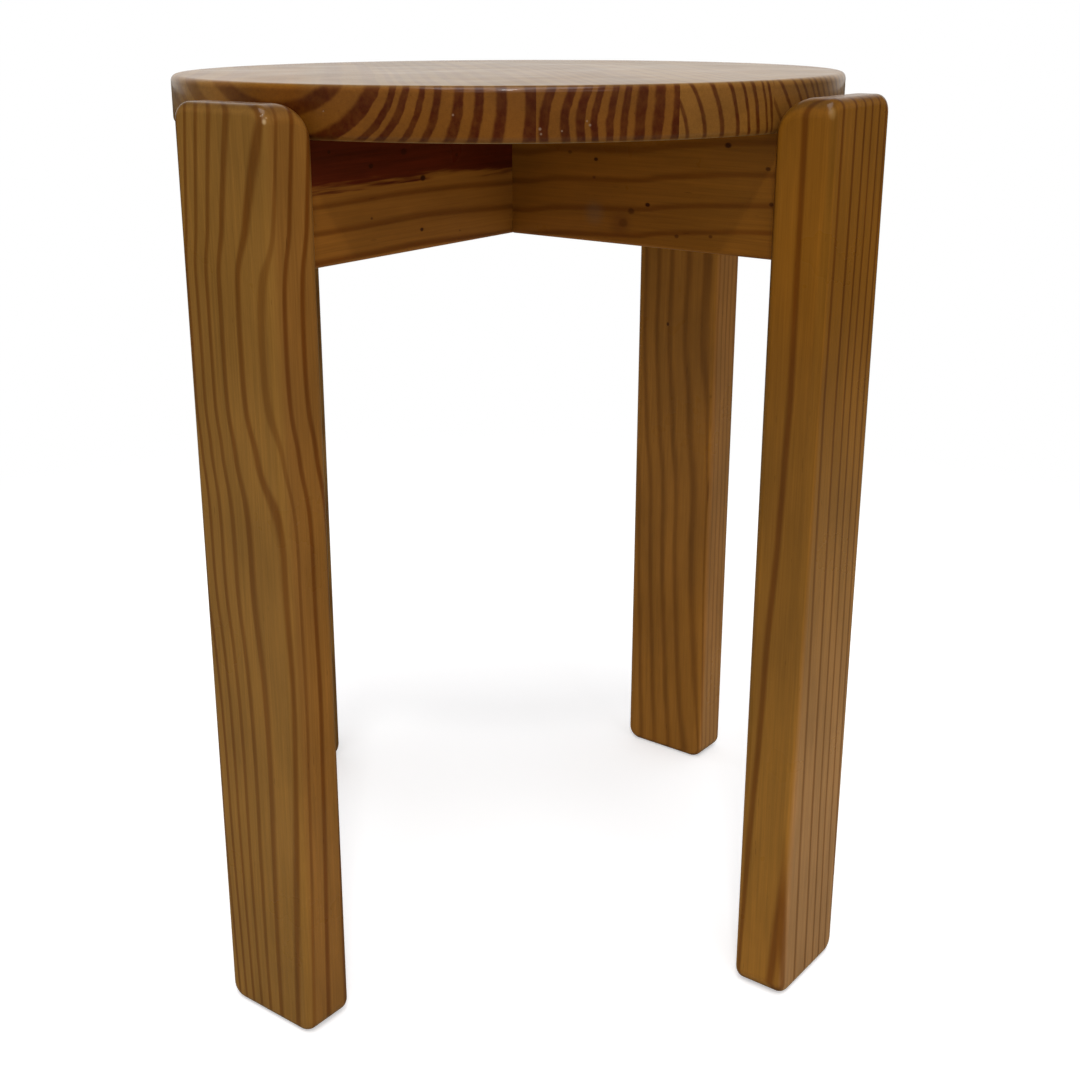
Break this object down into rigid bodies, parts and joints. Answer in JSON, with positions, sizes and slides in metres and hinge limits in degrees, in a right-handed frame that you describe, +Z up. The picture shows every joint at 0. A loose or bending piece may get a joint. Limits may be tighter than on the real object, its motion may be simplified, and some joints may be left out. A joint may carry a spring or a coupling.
{
  "type": "stool",
  "caption": "Low round pine stool: plank legs stand upright outside the rim of the seat, tied by two crossed apron boards under it.",
  "frame": {"origin": "on the floor, under the middle of the seat", "axes": "+Z up; the crossed apron boards lie along X and Y, with a leg at each end"},
  "size_m": [0.3914, 0.3914, 0.45],
  "materials": {
    "seat_pine": "aged satin lacquer",
    "apron_pine": "aged satin lacquer",
    "leg_pine": "aged satin lacquer",
    "screw_steel": "zinc plated"
  },
  "bodies": {
    "root": {"seat_board_1": "seat_pine", "seat_board_2": "seat_pine", "seat_board_3": "seat_pine", "seat_board_4": "seat_pine", "apron_board_under_lap": "apron_pine", "apron_board_over_lap": "apron_pine", "leg_front_left": "leg_pine", "leg_front_right": "leg_pine", "leg_back_right": "leg_pine", "leg_back_left": "leg_pine", "seat_screws": "screw_steel"}
  },
  "joints": []
}
